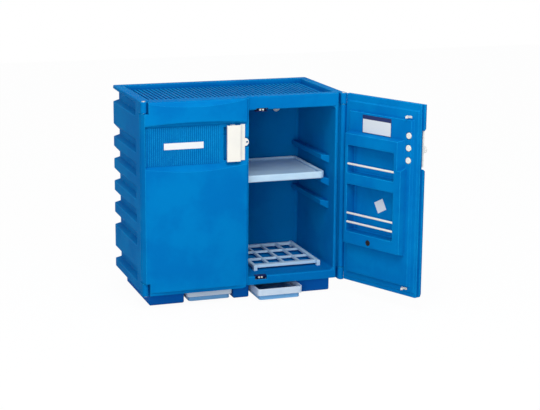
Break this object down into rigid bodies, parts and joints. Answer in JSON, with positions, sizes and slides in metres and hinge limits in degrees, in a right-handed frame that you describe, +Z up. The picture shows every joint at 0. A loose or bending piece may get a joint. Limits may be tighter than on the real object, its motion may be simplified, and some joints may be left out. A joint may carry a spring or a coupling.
{
  "type": "safety storage cabinet",
  "caption": "Low two-door moulded safety storage cabinet with ribbed sides, a shelf, racks, door pockets and pull-out trays in its base.",
  "frame": {"origin": "on the floor under the middle of the centre foot, halfway across the cabinet and halfway from the closed doors' face to its back", "axes": "+X to the cabinet's right seen from the front, +Y from the doors to the back, +Z up"},
  "size_m": [1.1381, 0.9245, 0.917],
  "materials": {
    "blue_moulding": "satin",
    "white_plastic": "satin",
    "pale_plastic": "satin",
    "black_plastic": "satin",
    "card": "matt",
    "steel": "brushed",
    "dark_metal": "satin"
  },
  "bodies": {
    "cabinet": {"cabinet_body": "blue_moulding", "vent_caps": "white_plastic", "catch_screws": "steel", "left_top_hinge_pin": "steel", "left_top_catch_bracket": "dark_metal", "left_bottom_hinge_pin": "steel", "left_bottom_catch_bracket": "dark_metal", "right_top_hinge_pin": "steel", "right_top_catch_bracket": "dark_metal", "right_bottom_hinge_pin": "steel", "right_bottom_catch_bracket": "dark_metal"},
    "left_door": {"left_door": "blue_moulding", "left_handle": "white_plastic", "left_handle_screws": "steel", "left_screw_caps": "white_plastic", "left_top_strike": "white_plastic", "left_bottom_strike": "white_plastic", "left_strike_screws": "steel", "left_upper_rod": "white_plastic", "left_middle_rod": "white_plastic", "left_lower_rod": "white_plastic", "left_moulding_plug": "black_plastic", "left_label_plate": "card"},
    "right_door": {"right_door": "blue_moulding", "right_handle": "white_plastic", "right_handle_screws": "steel", "right_screw_caps": "white_plastic", "right_top_strike": "white_plastic", "right_bottom_strike": "white_plastic", "right_strike_screws": "steel", "right_upper_rod": "white_plastic", "right_middle_rod": "white_plastic", "right_lower_rod": "white_plastic", "right_moulding_plug": "black_plastic", "right_label_plate": "card", "right_info_card": "card", "right_pocket_card": "card"},
    "shelf": {"shelf": "pale_plastic"},
    "left_rack": {"left_rack": "pale_plastic"},
    "right_rack": {"right_rack": "pale_plastic"},
    "left_tray": {"left_tray": "white_plastic"},
    "right_tray": {"right_tray": "white_plastic"},
    "left_top_catch_inner_arm": {"left_top_catch_inner_arm": "dark_metal"},
    "left_top_catch_inner_roller": {"left_top_catch_inner_roller": "white_plastic"},
    "left_top_catch_outer_arm": {"left_top_catch_outer_arm": "dark_metal"},
    "left_top_catch_outer_roller": {"left_top_catch_outer_roller": "white_plastic"},
    "left_bottom_catch_inner_arm": {"left_bottom_catch_inner_arm": "dark_metal"},
    "left_bottom_catch_inner_roller": {"left_bottom_catch_inner_roller": "white_plastic"},
    "left_bottom_catch_outer_arm": {"left_bottom_catch_outer_arm": "dark_metal"},
    "left_bottom_catch_outer_roller": {"left_bottom_catch_outer_roller": "white_plastic"},
    "right_top_catch_inner_arm": {"right_top_catch_inner_arm": "dark_metal"},
    "right_top_catch_inner_roller": {"right_top_catch_inner_roller": "white_plastic"},
    "right_top_catch_outer_arm": {"right_top_catch_outer_arm": "dark_metal"},
    "right_top_catch_outer_roller": {"right_top_catch_outer_roller": "white_plastic"},
    "right_bottom_catch_inner_arm": {"right_bottom_catch_inner_arm": "dark_metal"},
    "right_bottom_catch_inner_roller": {"right_bottom_catch_inner_roller": "white_plastic"},
    "right_bottom_catch_outer_arm": {"right_bottom_catch_outer_arm": "dark_metal"},
    "right_bottom_catch_outer_roller": {"right_bottom_catch_outer_roller": "white_plastic"}
  },
  "joints": [
    {"name": "left_door_hinge", "type": "hinge", "parent": "cabinet", "child": "left_door", "pos_m": [-0.454, -0.244, 0.49], "axis": [0, 0, -1], "range_deg": [0, 150]},
    {"name": "right_door_hinge", "type": "hinge", "parent": "cabinet", "child": "right_door", "pos_m": [0.454, -0.244, 0.49], "axis": [0, 0, 1], "range_deg": [-115, 35]},
    {"name": "left_tray_slide", "type": "slide", "parent": "cabinet", "child": "left_tray", "axis": [0, -1, 0], "range_m": [0, 0.25]},
    {"name": "right_tray_slide", "type": "slide", "parent": "cabinet", "child": "right_tray", "axis": [0, -1, 0], "range_m": [-0.079, 0.171]},
    {"name": "shelf_lift", "type": "slide", "parent": "cabinet", "child": "shelf", "axis": [0, 0, 1], "range_m": [0, 0.025]},
    {"name": "left_rack_lift", "type": "slide", "parent": "cabinet", "child": "left_rack", "axis": [0, 0, 1], "range_m": [0, 0.06]},
    {"name": "right_rack_lift", "type": "slide", "parent": "cabinet", "child": "right_rack", "axis": [0, 0, 1], "range_m": [0, 0.06]},
    {"name": "left_top_catch_inner_arm_swing", "type": "hinge", "parent": "cabinet", "child": "left_top_catch_inner_arm", "pos_m": [-0.055, -0.22, 0.855], "axis": [0, 0, 1], "range_deg": [0, 20], "stiffness_Nm_per_rad": 0.05, "springref_deg": -17.19},
    {"name": "left_top_catch_inner_roller_spin", "type": "hinge", "parent": "left_top_catch_inner_arm", "child": "left_top_catch_inner_roller", "pos_m": [-0.0686, -0.232, 0.855], "axis": [0, 0, 1], "continuous": true},
    {"name": "left_top_catch_outer_arm_swing", "type": "hinge", "parent": "cabinet", "child": "left_top_catch_outer_arm", "pos_m": [-0.095, -0.22, 0.855], "axis": [0, 0, -1], "range_deg": [0, 20], "stiffness_Nm_per_rad": 0.05, "springref_deg": -17.19},
    {"name": "left_top_catch_outer_roller_spin", "type": "hinge", "parent": "left_top_catch_outer_arm", "child": "left_top_catch_outer_roller", "pos_m": [-0.0814, -0.232, 0.855], "axis": [0, 0, 1], "continuous": true},
    {"name": "left_bottom_catch_inner_arm_swing", "type": "hinge", "parent": "cabinet", "child": "left_bottom_catch_inner_arm", "pos_m": [-0.055, -0.22, 0.102], "axis": [0, 0, 1], "range_deg": [0, 20], "stiffness_Nm_per_rad": 0.05, "springref_deg": -17.19},
    {"name": "left_bottom_catch_inner_roller_spin", "type": "hinge", "parent": "left_bottom_catch_inner_arm", "child": "left_bottom_catch_inner_roller", "pos_m": [-0.0686, -0.232, 0.102], "axis": [0, 0, 1], "continuous": true},
    {"name": "left_bottom_catch_outer_arm_swing", "type": "hinge", "parent": "cabinet", "child": "left_bottom_catch_outer_arm", "pos_m": [-0.095, -0.22, 0.102], "axis": [0, 0, -1], "range_deg": [0, 20], "stiffness_Nm_per_rad": 0.05, "springref_deg": -17.19},
    {"name": "left_bottom_catch_outer_roller_spin", "type": "hinge", "parent": "left_bottom_catch_outer_arm", "child": "left_bottom_catch_outer_roller", "pos_m": [-0.0814, -0.232, 0.102], "axis": [0, 0, 1], "continuous": true},
    {"name": "right_top_catch_inner_arm_swing", "type": "hinge", "parent": "cabinet", "child": "right_top_catch_inner_arm", "pos_m": [0.055, -0.22, 0.855], "axis": [0, 0, -1], "range_deg": [0, 20], "stiffness_Nm_per_rad": 0.05, "springref_deg": -17.19},
    {"name": "right_top_catch_inner_roller_spin", "type": "hinge", "parent": "right_top_catch_inner_arm", "child": "right_top_catch_inner_roller", "pos_m": [0.0686, -0.232, 0.855], "axis": [0, 0, 1], "continuous": true},
    {"name": "right_top_catch_outer_arm_swing", "type": "hinge", "parent": "cabinet", "child": "right_top_catch_outer_arm", "pos_m": [0.095, -0.22, 0.855], "axis": [0, 0, 1], "range_deg": [0, 20], "stiffness_Nm_per_rad": 0.05, "springref_deg": -17.19},
    {"name": "right_top_catch_outer_roller_spin", "type": "hinge", "parent": "right_top_catch_outer_arm", "child": "right_top_catch_outer_roller", "pos_m": [0.0814, -0.232, 0.855], "axis": [0, 0, 1], "continuous": true},
    {"name": "right_bottom_catch_inner_arm_swing", "type": "hinge", "parent": "cabinet", "child": "right_bottom_catch_inner_arm", "pos_m": [0.055, -0.22, 0.102], "axis": [0, 0, -1], "range_deg": [0, 20], "stiffness_Nm_per_rad": 0.05, "springref_deg": -17.19},
    {"name": "right_bottom_catch_inner_roller_spin", "type": "hinge", "parent": "right_bottom_catch_inner_arm", "child": "right_bottom_catch_inner_roller", "pos_m": [0.0686, -0.232, 0.102], "axis": [0, 0, 1], "continuous": true},
    {"name": "right_bottom_catch_outer_arm_swing", "type": "hinge", "parent": "cabinet", "child": "right_bottom_catch_outer_arm", "pos_m": [0.095, -0.22, 0.102], "axis": [0, 0, 1], "range_deg": [0, 20], "stiffness_Nm_per_rad": 0.05, "springref_deg": -17.19},
    {"name": "right_bottom_catch_outer_roller_spin", "type": "hinge", "parent": "right_bottom_catch_outer_arm", "child": "right_bottom_catch_outer_roller", "pos_m": [0.0814, -0.232, 0.102], "axis": [0, 0, 1], "continuous": true}
  ]
}
